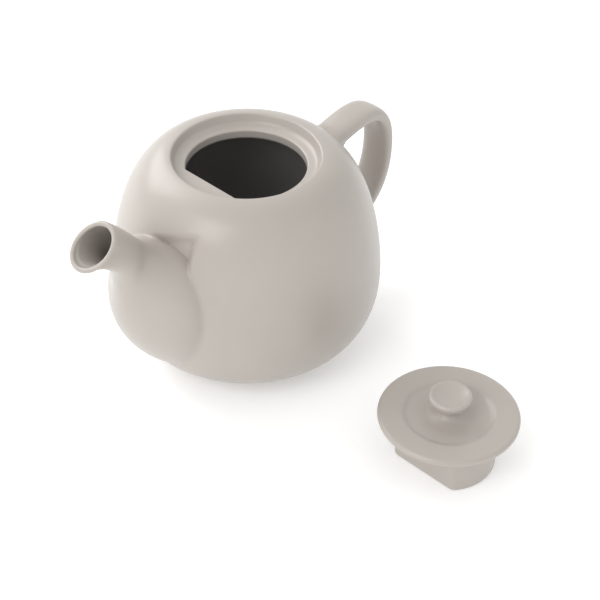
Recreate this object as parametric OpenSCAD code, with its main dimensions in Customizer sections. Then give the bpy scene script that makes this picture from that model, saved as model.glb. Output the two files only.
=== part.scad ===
// Stoneware teapot with its lid lying beside it, lid upright on its own collar.
// Origin: centre of the pot's foot, on the table. +Z up, spout towards -X, handle towards +X.
// Units: millimetres.

/* [Pot body] */
// Widest diameter of the pot
body_d = 136; // [128:1:144]
// Height of the widest place above the table
belly_h = 44; // [42:1:46]
// Height of the crease round the lid's recess
crease_h = 111.4; // [110:0.2:114]
// Diameter of the crease
crease_d = 73.4; // [72:0.2:76]
// Diameter of the foot where the outside meets the table
foot_d = 68; // [64:1:72]
// Thickness of the pot's wall
wall = 4.5; // [4:0.1:5]

/* [Mouth] */
// Diameter of the mouth
mouth_d = 59.4; // [58:0.2:60]
// Distance from the pot's axis to the mouth's flat side, which faces the spout
mouth_flat = 23.7; // [22.5:0.1:25]
// Height of the ledge that the lid's disc rests on
ledge_h = 106.4; // [106:0.1:107]
// Depth of the mouth's vertical wall
mouth_depth = 6; // [5:0.5:7]

/* [Strainer] */
// Diameter of each strainer hole
strainer_hole_d = 4.5; // [3.5:0.1:5]
// Distance between neighbouring strainer holes
strainer_pitch = 8; // [7.5:0.1:8.5]
// Height of the middle strainer hole
strainer_h = 54; // [50:1:58]

/* [Spout] */
// Length of the tip's oval rim, along the slanted cut
tip_length = 26.1; // [25:0.1:27]
// Width of the tip's rim
tip_width = 22.9; // [22:0.1:24]
// How far the slanted cut dips towards the front, in degrees
tip_dip = 37; // [33:1:41]
// Height of the middle of the tip
tip_h = 108.8; // [107:0.1:111]
// Distance from the pot's axis to the middle of the tip
tip_reach = 98.5; // [97:0.1:101]
// Height of the top of the spout's root, measured inside the pot's wall
root_top = 90.6; // [89:0.1:92]
// Height of the bottom of the spout's root, measured inside the pot's wall
root_bottom = 11; // [10:0.5:14]
// Width of the spout's root, measured inside the pot's wall
root_width = 64.4; // [60:0.2:66]
// Thickness of the spout's wall at the root
spout_wall = 3.4; // [3:0.1:3.8]
// Thickness of the spout's wall at the lip
lip_wall = 2.5; // [2.2:0.1:3]

/* [Handle] */
// Width of the handle's strap
strap_w = 18; // [16:0.5:20]
// Thickness of the handle's strap
strap_t = 8; // [7:0.5:9]
// Distance from the pot's axis to the outside of the grip
grip_reach = 103; // [101:0.5:106]
// Height of the top of the handle
handle_h = 101.5; // [100:0.5:103]

/* [Lid] */
// Diameter of the lid's disc
lid_d = 68; // [67:0.1:68.6]
// Height of the underside of the disc above the table, which is the collar's depth
collar_h = 25.2; // [22:0.1:28]
// Thickness of the disc
disc_t = 3.6; // [3.2:0.1:4]
// Diameter of the collar's round side at its lower edge
collar_d = 48.2; // [46:0.1:50]
// Distance from the lid's axis to the collar's flat side at its lower edge
collar_flat = 16.4; // [15.5:0.1:18]
// Draft of the collar's sides, in degrees
collar_draft = 4; // [2:0.5:5]
// Diameter of the knob
knob_d = 20.8; // [19:0.1:23]
// Height of the knob's top above the disc
knob_h = 11.2; // [10:0.1:13]
// Where the lid lies, sideways from the pot's axis
lid_side = 134.8; // [120:0.1:150]

/* [Hidden] */

glaze = [0.77, 0.74, 0.70];
$fn = 96;

body_r = body_d / 2;
crease_r = crease_d / 2;
mouth_r = mouth_d / 2;
foot_r = foot_d / 2;
lid_r = lid_d / 2;

// The foot is a ring that stands proud of the pot's underside.
foot_ring_w = 5;
foot_recess = 2;
// The crease is a soft edge of this radius.
crease_round = 1.1;
// The recess inside the crease: a short wall that turns into the ledge.
recess_fillet = 3;
recess_wall_r = crease_r - 1.9;
ledge_fall = 0.6;
// Thickness of the collar's wall.
collar_wall = 3.4;
// Overlap that carries a cutting tool past the face it cuts.
past = 1;

// ---- curves ----

function bezier(p, t) =
    pow(1 - t, 3) * p[0] + 3 * t * pow(1 - t, 2) * p[1] + 3 * t * t * (1 - t) * p[2] + pow(t, 3) * p[3];
function bezier_points(p, n) = [for (i = [0:n]) bezier(p, i / n)];
// The same without its first point, to carry on from another curve.
function bezier_rest(p, n) = [for (i = [1:n]) bezier(p, i / n)];
function arc(c, r, from, to, n) =
    [for (i = [0:n]) let (a = from + (to - from) * i / n) c + r * [cos(a), sin(a)]];

// Outside of the pot as radius and height: up from the foot to the belly, then to the crease.
lower_outside = [[foot_r, 0], [foot_r + 17.5, 7.1], [body_r, belly_h - 29], [body_r, belly_h]];
upper_outside = [[body_r, belly_h], [body_r, belly_h + 20.1], [crease_r + 24.5, crease_h - 1.5],
                 [crease_r, crease_h]];
pot_steps = 16;

// The pot's outside as a closed outline to revolve, up to the crease and across its top.
outside_outline = concat(
    [[0, 0]],
    bezier_points(lower_outside, pot_steps),
    bezier_rest(upper_outside, pot_steps),
    [[0, crease_h]]);

// The hollow inside, one wall thickness in from the outside.
hollow_r = body_r - wall;
hollow_floor = wall + foot_recess;
hollow_top = ledge_h - mouth_depth;
lower_hollow = [[foot_r - 6, hollow_floor], [foot_r + 17, hollow_floor + 3.5], [hollow_r, belly_h - 25],
                [hollow_r, belly_h]];
upper_hollow = [[hollow_r, belly_h], [hollow_r, belly_h + 20], [crease_r + 19, crease_h - 8.5],
                [mouth_r + 3, hollow_top]];
hollow_outline = concat(
    [[0, hollow_floor]],
    bezier_points(lower_hollow, pot_steps),
    bezier_rest(upper_hollow, pot_steps),
    [[0, hollow_top]]);

// The lid's recess: its wall, a fillet, and the ledge that falls slightly towards the mouth.
recess_outline = concat(
    [[0, crease_h + past], [crease_r - crease_round, crease_h + past], [crease_r - crease_round, crease_h],
     [recess_wall_r, crease_h - 1.6]],
    arc([recess_wall_r - recess_fillet, ledge_h + recess_fillet + 0.3], recess_fillet, 0, -90, 6),
    [[mouth_r, ledge_h - ledge_fall], [0, ledge_h - ledge_fall]]);

module d_outline(r, flat) {
    intersection() {
        circle(r = r);
        translate([-flat, -2 * r]) square([4 * r, 4 * r]);
    }
}

// ---- the pot ----

module pot_envelope() {
    rotate_extrude() polygon(outside_outline);
}

// Rows of holes in the wall behind the spout, staggered like a honeycomb.
module strainer_holes() {
    row_step = strainer_pitch * sqrt(3) / 2;
    rows_each_way = 2;
    for (row = [-rows_each_way:rows_each_way]) {
        count = 2 * rows_each_way + 1 - abs(row);
        for (i = [0:count - 1])
            translate([-body_r - past, (i - (count - 1) / 2) * strainer_pitch, strainer_h + row * row_step])
                rotate([0, 90, 0])
                    cylinder(d = strainer_hole_d, h = body_r / 2, $fn = 32);
    }
}

module pot_body() {
    color(glaze)
    difference() {
        pot_envelope();
        rotate_extrude() polygon(hollow_outline);
        rotate_extrude() polygon(recess_outline);
        translate([0, 0, hollow_top - past])
            linear_extrude(mouth_depth + 2 * past) d_outline(mouth_r, mouth_flat);
        translate([0, 0, -past]) cylinder(r = foot_r - foot_ring_w, h = foot_recess + past);
        strainer_holes();
    }
}

// ---- the spout ----

// Top line and front line of the spout in the plane through spout and handle, root first.
tip_half = tip_length / 2;
tip_back = [-tip_reach + tip_half * cos(tip_dip), tip_h + tip_half * sin(tip_dip)];
tip_front = [-tip_reach - tip_half * cos(tip_dip), tip_h - tip_half * sin(tip_dip)];
root_x = -50;
spout_top = [[root_x, root_top], [-70, 89], [-69, 99], tip_back];
spout_front = [[root_x, root_bottom], [-112, 48.5], [-58.5, 86], tip_front];
spout_rings = 22;
spout_sides = 40;
// Where along the spout its flare ends, as a share of its length, and how sharply it closes in.
flare_end = 0.67;
flare_power = 2.14;
neck_waist = 1.5;

// Half the spout's width: wide at the root, then a neck a little slimmer than the tip.
function spout_half_width(t) =
    tip_width / 2 + (root_width - tip_width) / 2 * pow(cos(90 * min(1, t / flare_end)), flare_power)
    - neck_waist * sin(180 * t);
function spout_wall_at(t) = spout_wall + (lip_wall - spout_wall) * t;

function spout_ring(t, inset, shift) =
    let (top = bezier(spout_top, t), front = bezier(spout_front, t),
         mid = (top + front) / 2, half = (top - front) / 2,
         reach = norm(half), grown = half * (reach - inset) / reach,
         side = spout_half_width(t) - inset)
    [for (i = [0:spout_sides - 1]) let (a = 360 * i / spout_sides)
        [mid[0] + grown[0] * cos(a) + shift[0], side * sin(a), mid[1] + grown[1] * cos(a) + shift[1]]];

// A closed solid through a list of rings that all have the same number of points.
module loft(rings) {
    n = len(rings[0]);
    last = len(rings) - 1;
    polyhedron(
        points = [for (ring = rings) for (p = ring) p],
        faces = concat(
            [[for (i = [0:n - 1]) i]],
            [for (r = [0:last - 1]) for (i = [0:n - 1]) let (j = (i + 1) % n)
                each [[r * n + i, (r + 1) * n + i, (r + 1) * n + j],
                    [r * n + i, (r + 1) * n + j, r * n + j]]],
            [[for (i = [n - 1:-1:0]) last * n + i]]));
}

module spout() {
    outside = [for (i = [0:spout_rings]) spout_ring(i / spout_rings, 0, [0, 0])];
    out_of_tip = past * [-sin(tip_dip), cos(tip_dip)];
    inside = concat(
        [for (i = [0:spout_rings]) spout_ring(i / spout_rings, spout_wall_at(i / spout_rings), [0, 0])],
        [spout_ring(1, lip_wall, out_of_tip)]);
    color(glaze)
    difference() {
        loft(outside);
        loft(inside);
        pot_envelope();
    }
}

// ---- the handle ----

// Middle line of the strap: out from the shoulder, round the top corner, down the grip and back in.
grip_x = grip_reach - strap_t / 2;
top_z = handle_h - strap_t / 2;
corner_start = [grip_x - 18, top_z];
corner_end = [grip_x, top_z - 24];
handle_line = concat(
    bezier_points([[52, 91.5], [64, 95], [72, top_z], corner_start], 8),
    bezier_rest([corner_start, [grip_x - 6, top_z], [grip_x, top_z - 8], corner_end], 8),
    bezier_rest([corner_end, [grip_x, top_z - 46], [grip_x - 10, 38], [62, 30]], 12));
strap_edge_r = 3.4;
strap_sides = 6;

// Rounded strap section as [across the strap, through its thickness].
strap_section = [for (q = [0:3], i = [0:strap_sides])
    let (a = 90 * q + 90 * i / strap_sides,
         cx = (q == 0 || q == 3 ? 1 : -1) * (strap_w / 2 - strap_edge_r),
         cz = (q < 2 ? 1 : -1) * (strap_t / 2 - strap_edge_r))
    [cx + strap_edge_r * cos(a), cz + strap_edge_r * sin(a)]];

function line_direction(line, i) =
    let (d = line[min(i + 1, len(line) - 1)] - line[max(i - 1, 0)]) d / norm(d);

module handle() {
    rings = [for (i = [0:len(handle_line) - 1])
        let (d = line_direction(handle_line, i), c = handle_line[i])
        [for (s = strap_section) [c[0] - d[1] * s[1], s[0], c[1] + d[0] * s[1]]]];
    color(glaze)
    difference() {
        loft(rings);
        pot_envelope();
    }
}

// ---- the lid ----

disc_z = collar_h;
disc_top = disc_z + disc_t;
// The middle of the lid is a shallow dish inside a soft step, and rises again to the knob's seat.
step_r = 20.7;
step_drop = 1.2;
dish_z = disc_top - step_drop;
knob_seat_r = 5.2;
knob_seat_z = disc_top + 2.2;

// Upper face of the lid from its rounded rim over the soft step to the seat of the knob.
lid_outline = concat(
    [[0, disc_z]],
    [[lid_r - disc_t / 2, disc_z]],
    arc([lid_r - disc_t / 2, disc_z + disc_t / 2], disc_t / 2, -90, 90, 8),
    [[step_r + 1.4, disc_top - 0.1]],
    arc([step_r + 0.2, dish_z - 0.1], step_drop, 80, 150, 3),
    bezier_points([[step_r - 2.4, dish_z], [13, dish_z + 0.1], [8.5, dish_z + 0.6],
                   [knob_seat_r, knob_seat_z]], 8),
    [[0, knob_seat_z]]);

// Tapered D-shaped collar: a cone cut by a leaning flat.
module collar_solid(inset, low, high) {
    grow = tan(collar_draft);
    difference() {
        translate([0, 0, low])
            cylinder(r1 = collar_d / 2 + low * grow - inset, r2 = collar_d / 2 + high * grow - inset,
                     h = high - low);
        translate([-collar_flat + inset / cos(collar_draft), 0, 0])
            rotate([0, -collar_draft, 0])
                translate([-collar_d, -collar_d, -collar_h]) cube([collar_d, 2 * collar_d, 3 * collar_h]);
    }
}

// The hollow of the collar ends this far below the disc.
ceiling_below = 0.5;

module at_lid_place() {
    translate([0, -lid_side, 0]) children();
}

module lid() {
    color(glaze)
    at_lid_place()
    difference() {
        union() {
            rotate_extrude() polygon(lid_outline);
            collar_solid(0, 0, disc_z + disc_t / 4);
        }
        collar_solid(collar_wall, -past, disc_z - ceiling_below);
    }
}

knob_top_z = disc_top + knob_h;
knob_r = knob_d / 2;
knob_rim_t = 4;

// Mushroom knob: flared waist, rounded rim, dished top.
knob_outline = concat(
    bezier_points([[knob_seat_r, knob_seat_z], [knob_seat_r - 0.2, knob_seat_z + 2],
                   [6, knob_top_z - knob_rim_t - 1], [knob_r - knob_rim_t / 2, knob_top_z - knob_rim_t]], 6),
    arc([knob_r - knob_rim_t / 2, knob_top_z - knob_rim_t / 2], knob_rim_t / 2, -75, 100, 8),
    [[6.4, knob_top_z - 0.6], [4, knob_top_z - 1.4], [0, knob_top_z - 1.6], [0, knob_seat_z]]);

module lid_knob() {
    color(glaze)
    at_lid_place()
    rotate_extrude() polygon(knob_outline);
}

pot_body();
spout();
handle();
lid();
lid_knob();
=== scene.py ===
"""A satin-glazed stoneware teapot with its lid lying beside it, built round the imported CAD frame."""
from math import cos, pi, radians, sin, sqrt, tan

import bpy
import numpy as np
from mathutils import Matrix, Vector


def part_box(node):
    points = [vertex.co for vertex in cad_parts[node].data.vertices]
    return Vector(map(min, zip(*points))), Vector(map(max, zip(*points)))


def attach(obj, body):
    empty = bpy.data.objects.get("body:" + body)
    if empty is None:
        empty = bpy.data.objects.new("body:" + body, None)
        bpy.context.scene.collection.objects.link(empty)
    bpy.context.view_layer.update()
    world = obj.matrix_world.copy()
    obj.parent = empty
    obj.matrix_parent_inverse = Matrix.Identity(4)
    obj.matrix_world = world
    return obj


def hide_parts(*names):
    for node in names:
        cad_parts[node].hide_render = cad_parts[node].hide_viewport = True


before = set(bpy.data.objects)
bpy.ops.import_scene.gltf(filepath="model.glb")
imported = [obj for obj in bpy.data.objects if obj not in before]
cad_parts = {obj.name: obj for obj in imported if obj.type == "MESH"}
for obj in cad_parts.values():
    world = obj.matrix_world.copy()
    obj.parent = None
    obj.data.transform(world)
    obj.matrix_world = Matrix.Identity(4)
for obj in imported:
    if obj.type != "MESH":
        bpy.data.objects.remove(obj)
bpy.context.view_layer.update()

MM = 0.001


# ---- sizes, in millimetres, most of them read off the frame ----

def box_mm(node):
    low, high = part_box(node)
    return np.array(low) / MM, np.array(high) / MM


_, pot_high = box_mm("pot_body")
lid_low, lid_high = box_mm("lid")
knob_low, knob_high = box_mm("lid_knob")

BODY_R = 68.0
BELLY_H = 44.0
CREASE_R = 36.7
CREASE_H = pot_high[2]
FOOT_R = 34.0
WALL = 4.5

MOUTH_R = 29.7
MOUTH_FLAT = 23.7
MOUTH_CORNER = 2.2
LEDGE_H = CREASE_H - 5.0
MOUTH_DEPTH = 6.0

LID_R = (lid_high[0] - lid_low[0]) / 2
LID_PLACE = ((lid_high + lid_low) / 2)[:2]
KNOB_R = (knob_high[0] - knob_low[0]) / 2
KNOB_TOP = knob_high[2]
DISC_UNDER = 25.2
DISC_T = 3.6
COLLAR_R = 24.1
COLLAR_FLAT = 16.4
COLLAR_CORNER = 4.0
COLLAR_WALL = 3.4
COLLAR_DRAFT = radians(4)
KNOB_SEAT_R = 5.2
KNOB_SEAT_H = 31.0

AROUND = 360


# ---- curves ----

def bezier(points, steps):
    """Points along a cubic Bezier curve, both ends included."""
    t = np.linspace(0, 1, steps + 1)[:, None]
    p = np.array(points, float)
    return (1 - t) ** 3 * p[0] + 3 * t * (1 - t) ** 2 * p[1] + 3 * t * t * (1 - t) * p[2] + t ** 3 * p[3]


def rounded(corners, steps=6):
    """A polyline of (x, y, radius) corners with each corner turned into an arc of its radius."""
    out = [np.array(corners[0][:2], float)]
    for before, here, after in zip(corners, corners[1:], corners[2:]):
        b, c, a = (np.array(q[:2], float) for q in (before, here, after))
        u = (b - c) / np.linalg.norm(b - c)
        v = (a - c) / np.linalg.norm(a - c)
        half = np.arccos(np.clip(u @ v, -1, 1)) / 2
        if here[2] <= 0 or half > radians(89.5):
            out.append(c)
            continue
        reach = here[2] / tan(half)
        middle = c + (u + v) / np.linalg.norm(u + v) * here[2] / sin(half)
        start, end = c + u * reach - middle, c + v * reach - middle
        turn = np.arctan2(start[0] * end[1] - start[1] * end[0], start @ end)
        for i in range(steps + 1):
            w = turn * i / steps
            out.append(middle + [start[0] * cos(w) - start[1] * sin(w),
                                 start[0] * sin(w) + start[1] * cos(w)])
    out.append(np.array(corners[-1][:2], float))
    return np.array(out)


def evenly(points, spacing):
    """The same curve with points no further apart than spacing."""
    points = np.array(points, float)
    out = [points[0]]
    for a, b in zip(points, points[1:]):
        n = max(1, int(np.ceil(np.linalg.norm(b - a) / spacing)))
        out.extend(a + (b - a) * (i + 1) / n for i in range(n))
    return np.array(out)


def d_shape(angles, radius, flat, corner):
    """Radius of a D at each angle: a circle cut by a flat on the -X side, with rounded corners."""
    inner = radius - corner
    corner_x = -(flat - corner)
    corner_y = sqrt(max(inner ** 2 - corner_x ** 2, 0))
    join = np.arctan2(corner_y, corner_x)
    big = [radius * np.array([cos(a), sin(a)]) for a in np.linspace(0, join, 400)]
    small = [np.array([corner_x + corner * cos(a), corner_y + corner * sin(a)])
             for a in np.linspace(join, pi, 60)]
    straight = [np.array([-flat, corner_y * (1 - s)]) for s in np.linspace(0, 1, 60)]
    half = np.array(big + small + straight)
    a = np.arctan2(half[:, 1], half[:, 0])
    order = np.argsort(a)
    wrapped = np.abs((angles + pi) % (2 * pi) - pi)
    return np.interp(wrapped, a[order], np.hypot(half[:, 0], half[:, 1])[order])


# ---- meshes ----

def skin(name, rings, cap_start=True, cap_end=True, inner_from=None, inner_to=None):
    """A closed mesh through rings of equal length, in millimetres.

    The faces between rings inner_from and inner_to take material slot 1.
    """
    rings = [np.asarray(r, float) for r in rings]
    n = len(rings[0])
    verts = [tuple(p * MM) for r in rings for p in r]
    faces, slots = [], []
    for k in range(len(rings) - 1):
        a, b = k * n, (k + 1) * n
        inner = inner_from is not None and inner_from <= k < inner_to
        for i in range(n):
            j = (i + 1) % n
            faces.append((a + i, a + j, b + j, b + i))
            slots.append(1 if inner else 0)
    for on, base, flip in ((cap_start, 0, True), (cap_end, (len(rings) - 1) * n, False)):
        if not on:
            continue
        verts.append(tuple(np.mean(rings[base // n], axis=0) * MM))
        hub = len(verts) - 1
        for i in range(n):
            j = (i + 1) % n
            faces.append((base + j, base + i, hub) if flip else (base + i, base + j, hub))
            slots.append(1 if inner_to is not None and inner_to >= len(rings) - 1 and not flip else 0)
    mesh = bpy.data.meshes.new(name)
    mesh.from_pydata(verts, [], faces)
    mesh.polygons.foreach_set("material_index", slots)
    mesh.polygons.foreach_set("use_smooth", [True] * len(faces))
    mesh.validate()
    mesh.update()
    piece = bpy.data.objects.new(name, mesh)
    bpy.context.scene.collection.objects.link(piece)
    return piece


ANGLES = np.arange(AROUND) * 2 * pi / AROUND


def level_ring(radii, height, place=(0, 0)):
    radii = np.broadcast_to(radii, ANGLES.shape)
    return np.stack([place[0] + radii * np.cos(ANGLES), place[1] + radii * np.sin(ANGLES),
                     np.full(AROUND, float(height))], axis=1)


# ---- the pot's body ----

lower_outside = [[FOOT_R, 0], [FOOT_R + 17.5, 7.1], [BODY_R, BELLY_H - 29], [BODY_R, BELLY_H]]
upper_outside = [[BODY_R, BELLY_H], [BODY_R, BELLY_H + 20.1], [CREASE_R + 24.5, CREASE_H - 1.5],
                 [CREASE_R, CREASE_H]]
outside = np.vstack([bezier(lower_outside, 60), bezier(upper_outside, 90)[1:]])


def outside_radius(height):
    return np.interp(height, outside[:, 1], outside[:, 0])


def smooth(x):
    x = np.clip(x, 0, 1)
    return x * x * (3 - 2 * x)


DIMPLE_DEPTH = 4.2
DIMPLE_INNER = np.array([2.0, 94.5])
DIMPLE_TOP = np.array([21.0, 100.5])
DIMPLE_LOW = np.array([21.0, 82.0])


def side_of(points, a, b):
    """Distance of 2-D points to the left of the line from a to b."""
    along = (b - a) / np.linalg.norm(b - a)
    return along[0] * (points[:, 1] - a[1]) - along[1] * (points[:, 0] - a[0])


def dimple_depth(points):
    """The pot sinks in a little just above the spout's root, on the -Y side."""
    flat = np.column_stack([-points[:, 1], points[:, 2]])
    under_top = side_of(flat, DIMPLE_TOP, DIMPLE_INNER)
    in_from_side = side_of(flat, DIMPLE_LOW, DIMPLE_TOP)
    above_root = side_of(flat, DIMPLE_LOW, DIMPLE_INNER) * -1
    fall = 0.45 * smooth(under_top / 4.0) + 0.55 * np.clip(under_top / 13, 0, 1)
    depth = DIMPLE_DEPTH * fall * smooth(in_from_side / 4.5)
    return depth * smooth((above_root + 7) / 4) * (points[:, 0] < 0)


def onto_pot(points):
    """Points moved level with the floor onto the pot's outside, and the outward normals there."""
    points = np.asarray(points, float)
    across = points[:, :2] / np.hypot(points[:, 0], points[:, 1])[:, None]
    height = points[:, 2]
    slope = outside_radius(height + 0.5) - outside_radius(height - 0.5)
    normal = np.column_stack([across, -slope])
    normal /= np.linalg.norm(normal, axis=1)[:, None]
    foot = np.column_stack([across * outside_radius(height)[:, None], height])
    return foot - normal * dimple_depth(foot)[:, None], normal


def height_over_pot(points):
    """How far each point stands off the pot's outside, along the surface's normal."""
    foot, normal = onto_pot(points)
    return np.einsum("ij,ij->i", points - foot, normal)


def pot_body():
    """Rings from the middle of the underside, over the outside and the ledge, and down the hollow."""
    foot_ring_w, foot_recess = 5.0, 2.0
    foot_slope, foot_soft, foot_corner, foot_edge = 1.6, 1.2, 0.8, 0.4
    hollow_floor = WALL + foot_recess
    crease_round, mouth_round, under_round = 1.15, 1.0, 1.4
    recess_lean, recess_soft, ledge_in, ledge_fall = 1.9, 2.6, 3.2, 0.25
    edge_drop = 0.6
    hub = 1
    rings = []
    # underside and foot ring
    under = rounded([(hub, foot_recess, 0), (FOOT_R - foot_ring_w - foot_slope, foot_recess, foot_soft),
                     (FOOT_R - foot_ring_w, 0, foot_corner), (FOOT_R - foot_edge, 0, 0)])
    for r, z in evenly(under, 3):
        rings.append(level_ring(r, z))
    shoulder = outside[1:][outside[1:, 0] > CREASE_R + crease_round]
    # soft edge between shoulder and recess, then the short wall, its fillet and the ledge
    recess = rounded([tuple(shoulder[-1]) + (0,), (CREASE_R, CREASE_H, crease_round),
                      (CREASE_R - recess_lean, LEDGE_H + 0.3, recess_soft),
                      (MOUTH_R + ledge_in, LEDGE_H - ledge_fall, 0)], 10)
    for r, z in shoulder:
        rings.append(onto_pot(level_ring(r, z))[0])
    for r, z in recess[1:]:
        rings.append(level_ring(r, z))
    # the ledge narrows from a circle to the D of the mouth
    rim = recess[-1]
    edge_h = LEDGE_H - edge_drop
    outer_d = d_shape(ANGLES, MOUTH_R + mouth_round, MOUTH_FLAT + mouth_round, MOUTH_CORNER + mouth_round)
    for s in np.linspace(0, 1, 9)[1:]:
        rings.append(level_ring(rim[0] * (1 - s) + outer_d * s, rim[1] + (edge_h - rim[1]) * s))
    for a in np.linspace(0, pi / 2, 9)[1:]:
        gap = mouth_round * (1 - sin(a))
        radii = d_shape(ANGLES, MOUTH_R + gap, MOUTH_FLAT + gap, MOUTH_CORNER + gap)
        rings.append(level_ring(radii, edge_h - mouth_round * (1 - cos(a))))
    throat = d_shape(ANGLES, MOUTH_R, MOUTH_FLAT, MOUTH_CORNER)
    wall_low = LEDGE_H - MOUTH_DEPTH + under_round
    for z in np.linspace(edge_h - mouth_round, wall_low, 4)[1:]:
        rings.append(level_ring(throat, z))
    inner_start = len(rings) - 1
    # under the ledge and round the hollow
    hollow_top = bezier([[MOUTH_R + 3, LEDGE_H - MOUTH_DEPTH], [CREASE_R + 19, CREASE_H - 8.5],
                         [BODY_R - WALL, BELLY_H + 20], [BODY_R - WALL, BELLY_H]], 40)
    for a in np.linspace(0, pi / 2, 7)[1:]:
        gap = under_round * (1 - cos(a))
        radii = d_shape(ANGLES, MOUTH_R + gap, MOUTH_FLAT + gap, MOUTH_CORNER + gap)
        rings.append(level_ring(radii, wall_low - under_round * sin(a)))
    for r, z in hollow_top:
        rings.append(level_ring(r, z))
    for r, z in bezier([[BODY_R - WALL, BELLY_H], [BODY_R - WALL, BELLY_H - 25],
                        [FOOT_R + 17, hollow_floor + 3.5], [FOOT_R - 6, hollow_floor]], 30)[1:]:
        rings.append(level_ring(r, z))
    for r in np.linspace(FOOT_R - 6, hub, 8)[1:]:
        rings.append(level_ring(r, hollow_floor))
    return skin("pot_body_glazed", rings, inner_from=inner_start, inner_to=len(rings))


# ---- roots that flow into the pot ----

ROOT_SINK = 0.25
ROOT_STEPS = 12
ROOT_HOLD = 0.6


def root_joint(columns, rise, spread):
    """Rings that round a tube's wall off into the pot's surface, and where each column leaves off.

    columns is (points around, points along, 3), from inside the pot outwards. Each column leaves its own
    line rise above the pot and lands spread out along it.
    """
    starts, tops, corners = [], [], []
    for column, h in zip(columns, rise):
        height = height_over_pot(column)

        def crossing(level):
            k = max(1, int(np.argmax(height > level)))
            t = (level - height[k - 1]) / (height[k] - height[k - 1])
            return column[k - 1] + (column[k] - column[k - 1]) * t, k

        top, start = crossing(h)
        starts.append(start)
        tops.append(top)
        corners.append(crossing(0)[0])
    tops, corners = np.array(tops), np.array(corners)
    loop = np.roll(corners, -1, axis=0) - np.roll(corners, 1, axis=0)
    _, normals = onto_pot(corners)
    out = np.cross(loop, normals)
    out /= np.linalg.norm(out, axis=1)[:, None]
    out *= np.sign(np.einsum("ij,ij->i", out, corners - corners.mean(axis=0)).sum())
    end, normal = onto_pot(corners + out * np.asarray(spread)[:, None])
    near, far = tops + (corners - tops) * ROOT_HOLD, end + (corners - end) * ROOT_HOLD
    rings = []
    for t in np.linspace(0, 1, ROOT_STEPS + 1):
        u = 1 - t
        rings.append(u ** 3 * tops + 3 * t * u ** 2 * near + 3 * t * t * u * far + t ** 3 * end)
    rings.append(end - normal * ROOT_SINK)
    return rings, starts


# ---- the spout ----

TIP_HALF = 13.05
TIP_SIDE = 11.45
TIP_DIP = radians(37)
TIP_MID = np.array([-98.5, 108.6])
ROOT_X, ROOT_TOP, ROOT_LOW = -50.0, 90.6, 11.0
ROOT_SIDE = 32.2
SPOUT_WALL, LIP_WALL = 3.4, 2.5
FLARE_END, FLARE_POWER, NECK_WAIST = 0.67, 2.14, 1.5
SPOUT_AROUND = 180
SPOUT_STEPS = 160
SPOUT_WALL_STEPS = 110
FILLET_RISE, FILLET_SPREAD = 1.2, 1.0
LOWER_RISE, LOWER_SPREAD = 0.6, 0.5
LOWER_FROM, LOWER_OVER = 80, 50

tip_along = np.array([cos(TIP_DIP), sin(TIP_DIP)])
spout_top_line = [[ROOT_X, ROOT_TOP], [-70, 89], [-69, 99], TIP_MID + TIP_HALF * tip_along]
spout_front_line = [[ROOT_X, ROOT_LOW], [-112, 48.5], [-58.5, 86], TIP_MID - TIP_HALF * tip_along]


def spout_width(t):
    flare = np.cos(pi / 2 * np.minimum(1, t / FLARE_END)) ** FLARE_POWER
    return TIP_SIDE + (ROOT_SIDE - TIP_SIDE) * flare - NECK_WAIST * np.sin(pi * t)


def spout_rings(count, inset):
    """Rings of the spout's outside, or of a surface inset from it, from inside the pot to the tip."""
    t = np.linspace(0, 1, count + 1)
    top, front = bezier(spout_top_line, count), bezier(spout_front_line, count)
    middle, half = (top + front) / 2, (top - front) / 2
    reach = np.linalg.norm(half, axis=1)
    half = half * ((reach - inset) / reach)[:, None]
    side = spout_width(t) - inset
    turn = np.arange(SPOUT_AROUND) * 2 * pi / SPOUT_AROUND
    x = middle[:, 0, None] + half[:, 0, None] * np.cos(turn)
    z = middle[:, 1, None] + half[:, 1, None] * np.cos(turn)
    y = side[:, None] * np.sin(turn)
    return np.stack([x, y, z], axis=2)


def along_column(path, shares):
    """Points at the given shares of a polyline's length."""
    length = np.concatenate([[0], np.cumsum(np.linalg.norm(np.diff(path, axis=0), axis=1))])
    return np.column_stack([np.interp(shares * length[-1], length, path[:, k]) for k in range(3)])


def spout():
    t = np.linspace(0, 1, SPOUT_STEPS + 1)
    outer = spout_rings(SPOUT_STEPS, np.zeros(SPOUT_STEPS + 1))
    inner = spout_rings(SPOUT_STEPS, SPOUT_WALL + (LIP_WALL - SPOUT_WALL) * t)
    columns = outer.transpose(1, 0, 2)
    turn = np.arange(SPOUT_AROUND) * 2 * pi / SPOUT_AROUND
    from_top = np.degrees(np.abs((turn + pi) % (2 * pi) - pi))
    # the fillet is a little larger round the lower half
    lower = smooth((from_top - LOWER_FROM) / LOWER_OVER)
    fillet, starts = root_joint(columns, FILLET_RISE + LOWER_RISE * lower,
                                FILLET_SPREAD + LOWER_SPREAD * lower)
    shares = np.linspace(0, 1, SPOUT_WALL_STEPS + 1)
    wall = np.stack([along_column(np.vstack([fillet[0][c], columns[c, starts[c]:]]), shares)
                     for c in range(SPOUT_AROUND)], axis=1)
    # rounded lip between outside and channel
    up = np.array([-sin(TIP_DIP), 0, cos(TIP_DIP)])
    half_wall = LIP_WALL / 2
    lip_middle, across = (outer[-1] + inner[-1]) / 2, (outer[-1] - inner[-1]) / 2
    lip = [lip_middle + across * cos(a) + up * half_wall * (sin(a) - 1) for a in np.linspace(0, pi, 15)]
    channel = []
    for ring in inner[::-1][3:]:
        foot, normal = onto_pot(ring)
        low = height_over_pot(ring) < -0.2
        channel.append(np.where(low[:, None], foot - normal * 0.2, ring))
        if low.all():
            break
    rings = fillet[::-1] + list(wall[1:-3]) + lip + channel + [fillet[-1]]
    return skin("spout_glazed", rings, cap_start=False, cap_end=False)


# ---- the handle ----

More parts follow.
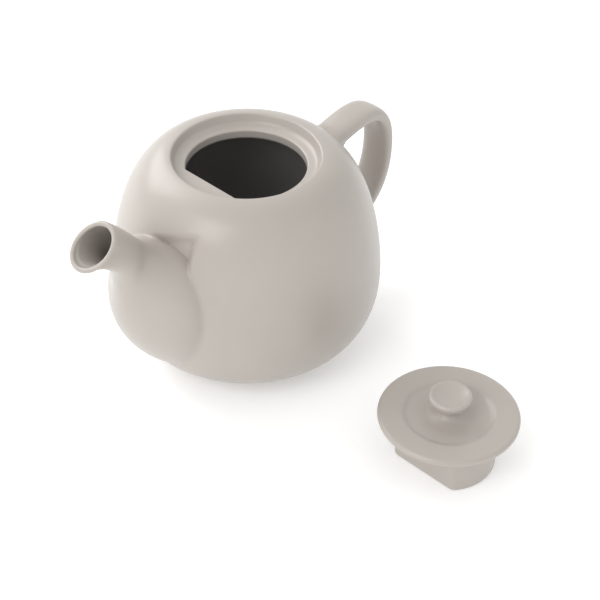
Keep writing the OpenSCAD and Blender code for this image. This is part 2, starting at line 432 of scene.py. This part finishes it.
STRAP_W, STRAP_T = 18.0, 8.0
STRAP_POWER = 2.7
STRAP_SIDES = 56
GRIP_X, TOP_Z = 99.0, 97.5
UPPER_RISE, LOWER_ROOT_LESS = 6.5, 1.5
STRAP_SPREAD, STRAP_EDGE_SPREAD = 3.0, 2.0


def strap_section():
    """Soft oblong strap outline, a superellipse, as (across, through) pairs."""
    turn = np.arange(STRAP_SIDES) * 2 * pi / STRAP_SIDES
    across = np.sign(np.cos(turn)) * np.abs(np.cos(turn)) ** (2 / STRAP_POWER) * STRAP_W / 2
    through = np.sign(np.sin(turn)) * np.abs(np.sin(turn)) ** (2 / STRAP_POWER) * STRAP_T / 2
    return np.column_stack([across, through])


def handle():
    line = np.vstack([
        bezier([[52, 91.5], [64, 95], [72, TOP_Z], [GRIP_X - 18, TOP_Z]], 40),
        bezier([[GRIP_X - 18, TOP_Z], [GRIP_X - 6, TOP_Z], [GRIP_X, TOP_Z - 8],
                [GRIP_X, TOP_Z - 24]], 40)[1:],
        bezier([[GRIP_X, TOP_Z - 24], [GRIP_X, TOP_Z - 46], [GRIP_X - 10, 38], [62, 30]], 60)[1:]])
    direction = np.gradient(line, axis=0)
    direction /= np.linalg.norm(direction, axis=1)[:, None]
    section = strap_section()
    rings = np.zeros((len(line), len(section), 3))
    rings[:, :, 0] = line[:, 0, None] - direction[:, 1, None] * section[:, 1]
    rings[:, :, 1] = section[:, 0]
    rings[:, :, 2] = line[:, 1, None] + direction[:, 0, None] * section[:, 1]
    half = len(line) // 2
    rise = np.full(STRAP_SIDES, UPPER_RISE)
    spread = STRAP_SPREAD + STRAP_EDGE_SPREAD * np.abs(section[:, 0]) / (STRAP_W / 2)
    upper, upper_start = root_joint(rings[:half].transpose(1, 0, 2), rise, spread)
    lower, lower_start = root_joint(rings[::-1][:len(line) - half].transpose(1, 0, 2),
                                    rise - LOWER_ROOT_LESS, spread)
    middle = along_strap(rings, upper[0], upper_start, lower[0], lower_start)
    return skin("handle_glazed", upper[::-1] + middle + lower)


def along_strap(rings, first, first_start, last, last_start, steps=120):
    """Rings from one root's top edge to the other's, along each of the strap's lines."""
    shares = np.linspace(0, 1, steps + 1)
    total = len(rings)
    lines = []
    for c in range(STRAP_SIDES):
        path = np.vstack([first[c], rings[first_start[c]:total - last_start[c], c], last[c]])
        lines.append(along_column(path, shares))
    return list(np.stack(lines, axis=1)[1:-1])


# ---- the lid ----

def lid():
    """The disc with a shallow dish round the knob, its underside, and the hollow D-shaped collar."""
    dish_drop, dish_r, step_in, step_out, flat_r = 1.5, 11.5, 19.2, 23.6, 25.0
    under_r = COLLAR_R + 5
    inner_round = 2
    top = DISC_UNDER + DISC_T
    dish = top - dish_drop
    rings = []
    upper = np.vstack([
        bezier([[KNOB_SEAT_R, KNOB_SEAT_H], [KNOB_SEAT_R + 0.3, top + 0.2], [8.2, dish + 0.1],
                [dish_r, dish]], 20),
        bezier([[dish_r, dish], [14.5, dish - 0.05], [17, dish], [step_in, dish + 0.1]], 8)[1:],
        bezier([[step_in, dish + 0.1], [21.2, dish + 0.25], [21.4, top - 0.1],
                [step_out, top - 0.02]], 12)[1:],
        [[flat_r, top]],
    ])
    for r, z in upper:
        rings.append(level_ring(r, z, LID_PLACE))
    rim_round = DISC_T / 2 - 0.02
    rim = rounded([(flat_r, top, 0), (LID_R, top, rim_round), (LID_R, DISC_UNDER, rim_round),
                   (under_r, DISC_UNDER, 0)], 10)
    for r, z in evenly(rim, 2)[1:]:
        rings.append(level_ring(r, z, LID_PLACE))
    # the underside narrows from a circle to the D of the collar, with a fillet
    draft = tan(COLLAR_DRAFT)

    def collar(height, gap):
        grow = height * draft + gap
        return d_shape(ANGLES, COLLAR_R + grow, COLLAR_FLAT + grow, COLLAR_CORNER + gap)

    fillet = 1.2
    for s in np.linspace(0, 1, 6)[1:]:
        radii = under_r * (1 - s) + collar(DISC_UNDER, fillet) * s
        rings.append(level_ring(radii, DISC_UNDER, LID_PLACE))
    for a in np.linspace(0, pi / 2, 7)[1:]:
        z = DISC_UNDER - fillet * (1 - cos(a))
        rings.append(level_ring(collar(z, fillet * (1 - sin(a))), z, LID_PLACE))
    edge = 1.3
    for z in np.linspace(DISC_UNDER - fillet, edge, 8)[1:]:
        rings.append(level_ring(collar(z, 0), z, LID_PLACE))
    for a in np.linspace(0, pi / 2, 7)[1:]:
        rings.append(level_ring(collar(0, -edge * (1 - cos(a))), edge * (1 - sin(a)), LID_PLACE))
    for a in np.linspace(0, pi / 2, 7):
        inner_edge = collar(0, -COLLAR_WALL + edge * (1 - sin(a)))
        rings.append(level_ring(inner_edge, edge * (1 - cos(a)), LID_PLACE))
    ceiling = DISC_UNDER - 0.5
    for z in np.linspace(edge, ceiling - inner_round, 7)[1:]:
        rings.append(level_ring(collar(z, -COLLAR_WALL), z, LID_PLACE))
    for a in np.linspace(0, pi / 2, 6)[1:]:
        radii = collar(ceiling, -COLLAR_WALL - inner_round * (1 - cos(a)))
        rings.append(level_ring(radii, ceiling - inner_round + inner_round * sin(a), LID_PLACE))
    last = collar(ceiling, -COLLAR_WALL - inner_round)
    for s in np.linspace(1, 0.05, 6)[1:]:
        rings.append(level_ring(last * s, ceiling, LID_PLACE))
    return skin("lid_glazed", rings)


def lid_knob():
    """Flared stem, a bowl-shaped head, a narrow soft edge and a dished top."""
    soft, bowl_r, bowl_low, dish_depth = 1.3, 8.1, 5.0, 1.9
    edge_r = KNOB_R - soft
    stem = bezier([[KNOB_SEAT_R, KNOB_SEAT_H], [KNOB_SEAT_R - 0.3, KNOB_SEAT_H + 1.9],
                   [6.0, KNOB_TOP - 5.9], [bowl_r, KNOB_TOP - bowl_low]], 20)
    bowl = bezier([[bowl_r, KNOB_TOP - bowl_low], [9.6, KNOB_TOP - 4.3], [KNOB_R, KNOB_TOP - 3.2],
                   [KNOB_R, KNOB_TOP - soft]], 14)[1:]
    turn = np.radians(np.linspace(0, 120, 14))
    edge = np.column_stack([edge_r + soft * np.cos(turn), KNOB_TOP - soft + soft * np.sin(turn)])[1:]
    dish = bezier([edge[-1], [edge_r - 1.9, KNOB_TOP - 0.9], [4, KNOB_TOP - dish_depth],
                   [0.3, KNOB_TOP - dish_depth]], 16)[1:]
    base = [[0.4, KNOB_SEAT_H - 1.0], [KNOB_SEAT_R - 0.4, KNOB_SEAT_H - 1.0]]
    rings = [level_ring(r, z, LID_PLACE) for r, z in np.vstack([base, stem, bowl, edge, dish])]
    return skin("lid_knob_glazed", rings)


# ---- materials ----

CLOUD_SCALE, DRIFT_SCALE, PEEL_SCALE = 22, 60, 420
CLOUD_LOW, CLOUD_HIGH = 0.35, 0.65
ROUGH_DRIFT = 0.05


def glaze(name, tone, rough, depth):
    """Satin glaze: faint cloudy colour, a soft orange-peel surface and roughness that drifts."""
    m = bpy.data.materials.new(name)
    m.use_nodes = True
    nodes, links = m.node_tree.nodes, m.node_tree.links
    shader = nodes["Principled BSDF"]
    shader.inputs["IOR"].default_value = 1.5
    shader.inputs["Coat Weight"].default_value = 0.25
    shader.inputs["Coat Roughness"].default_value = 0.22
    place = nodes.new("ShaderNodeTexCoord")

    def noise(scale, detail):
        n = nodes.new("ShaderNodeTexNoise")
        n.inputs["Scale"].default_value = scale
        n.inputs["Detail"].default_value = detail
        links.new(place.outputs["Object"], n.inputs["Vector"])
        return n

    clouds = noise(CLOUD_SCALE, 3)
    ramp = nodes.new("ShaderNodeValToRGB")
    dark, light = [c * (1 - depth) for c in tone], [c * (1 + depth) for c in tone]
    ramp.color_ramp.elements[0].position = CLOUD_LOW
    ramp.color_ramp.elements[0].color = (*dark, 1)
    ramp.color_ramp.elements[1].position = CLOUD_HIGH
    ramp.color_ramp.elements[1].color = (*light, 1)
    links.new(clouds.outputs["Fac"], ramp.inputs["Fac"])
    links.new(ramp.outputs["Color"], shader.inputs["Base Color"])
    drift = noise(DRIFT_SCALE, 2)
    spread = nodes.new("ShaderNodeMapRange")
    spread.inputs["To Min"].default_value = rough - ROUGH_DRIFT
    spread.inputs["To Max"].default_value = rough + ROUGH_DRIFT
    links.new(drift.outputs["Fac"], spread.inputs["Value"])
    links.new(spread.outputs["Result"], shader.inputs["Roughness"])
    peel = noise(PEEL_SCALE, 2)
    bump = nodes.new("ShaderNodeBump")
    bump.inputs["Strength"].default_value = 0.05
    bump.inputs["Distance"].default_value = 0.0004
    links.new(peel.outputs["Fac"], bump.inputs["Height"])
    links.new(bump.outputs["Normal"], shader.inputs["Normal"])
    return m


warm_grey = (0.39, 0.356, 0.322)
# The pot's hollow, from the foot of the mouth wall inwards, is coloured darker than the outside.
dark_inside = (0.25, 0.24, 0.23)
outside_glaze = glaze("satin_glaze", warm_grey, 0.40, 0.02)
darker_hollow = glaze("darker_hollow", dark_inside, 0.5, 0.08)


# ---- camera, floor and light ----

CAMERA_PLACE = Vector((-0.4607, -0.4654, 0.5530))
CAMERA_AIM = Vector((0.5683, 0.5281, -0.6310)).normalized()
CAMERA_ROLL = radians(1.03)


def photo_camera():
    data = bpy.data.cameras.new("camera")
    data.sensor_width = 36
    data.lens = 97.3
    cam = bpy.data.objects.new("camera", data)
    right = CAMERA_AIM.cross(Vector((0, 0, 1))).normalized()
    up = right.cross(CAMERA_AIM)
    tilted_right = cos(CAMERA_ROLL) * right + sin(CAMERA_ROLL) * up
    tilted_up = cos(CAMERA_ROLL) * up - sin(CAMERA_ROLL) * right
    rotation = Matrix((tilted_right, tilted_up, -CAMERA_AIM)).transposed().to_4x4()
    cam.matrix_world = Matrix.Translation(CAMERA_PLACE) @ rotation
    bpy.context.scene.collection.objects.link(cam)
    bpy.context.scene.camera = cam


def floor():
    size = 4.0
    mesh = bpy.data.meshes.new("floor")
    corners = [(-size, -size, 0), (size, -size, 0), (size, size, 0), (-size, size, 0)]
    mesh.from_pydata(corners, [], [(0, 1, 2, 3)])
    plane = bpy.data.objects.new("floor", mesh)
    bpy.context.scene.collection.objects.link(plane)
    paint = bpy.data.materials.new("floor_paint")
    paint.use_nodes = True
    shader = paint.node_tree.nodes["Principled BSDF"]
    shader.inputs["Base Color"].default_value = (0.86, 0.86, 0.86, 1)
    shader.inputs["Roughness"].default_value = 0.9
    shader.inputs["Specular IOR Level"].default_value = 0.1
    shader.inputs["Emission Color"].default_value = (1, 1, 1, 1)
    shader.inputs["Emission Strength"].default_value = 0.22
    mesh.materials.append(paint)


def area_light(name, place, aim, size, watts):
    data = bpy.data.lights.new(name, "AREA")
    data.shape = "RECTANGLE"
    data.size, data.size_y = size
    data.energy = watts
    lamp = bpy.data.objects.new(name, data)
    lamp.location = place
    lamp.rotation_euler = (Vector(aim) - Vector(place)).to_track_quat("-Z", "Y").to_euler()
    bpy.context.scene.collection.objects.link(lamp)


HORIZON_STRENGTH, ZENITH_STRENGTH = 1.05, 0.85


def studio():
    """White surroundings, brighter towards the horizon than overhead, and two large soft lamps."""
    world = bpy.data.worlds.new("studio")
    bpy.context.scene.world = world
    world.use_nodes = True
    nodes, links = world.node_tree.nodes, world.node_tree.links
    nodes["Background"].inputs["Color"].default_value = (1, 1, 1, 1)
    place = nodes.new("ShaderNodeTexCoord")
    parts = nodes.new("ShaderNodeSeparateXYZ")
    fade = nodes.new("ShaderNodeMapRange")
    fade.inputs["From Min"].default_value = 0.0
    fade.inputs["From Max"].default_value = 1.0
    fade.inputs["To Min"].default_value = HORIZON_STRENGTH
    fade.inputs["To Max"].default_value = ZENITH_STRENGTH
    links.new(place.outputs["Generated"], parts.inputs["Vector"])
    links.new(parts.outputs["Z"], fade.inputs["Value"])
    links.new(fade.outputs["Result"], nodes["Background"].inputs["Strength"])
    area_light("back_left", (0.0, 1.25, 0.95), (0, 0, 0.05), (1.1, 1.0), 13)
    area_light("front_left", (-1.25, -0.1, 1.05), (0, 0, 0.05), (0.8, 0.8), 8)
    bpy.context.scene.view_settings.view_transform = "Standard"


photo_camera()
floor()
studio()

body_piece = pot_body()
spout_piece = spout()
handle_piece = handle()
lid_piece = lid()
knob_piece = lid_knob()
for piece, node, body in ((body_piece, "pot_body", "pot"), (spout_piece, "spout", "pot"),
                          (handle_piece, "handle", "pot"), (lid_piece, "lid", "lid"),
                          (knob_piece, "lid_knob", "lid")):
    piece.data.materials.append(outside_glaze)
    if piece in (body_piece, spout_piece):
        piece.data.materials.append(darker_hollow)
    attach(piece, body)
    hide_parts(node)
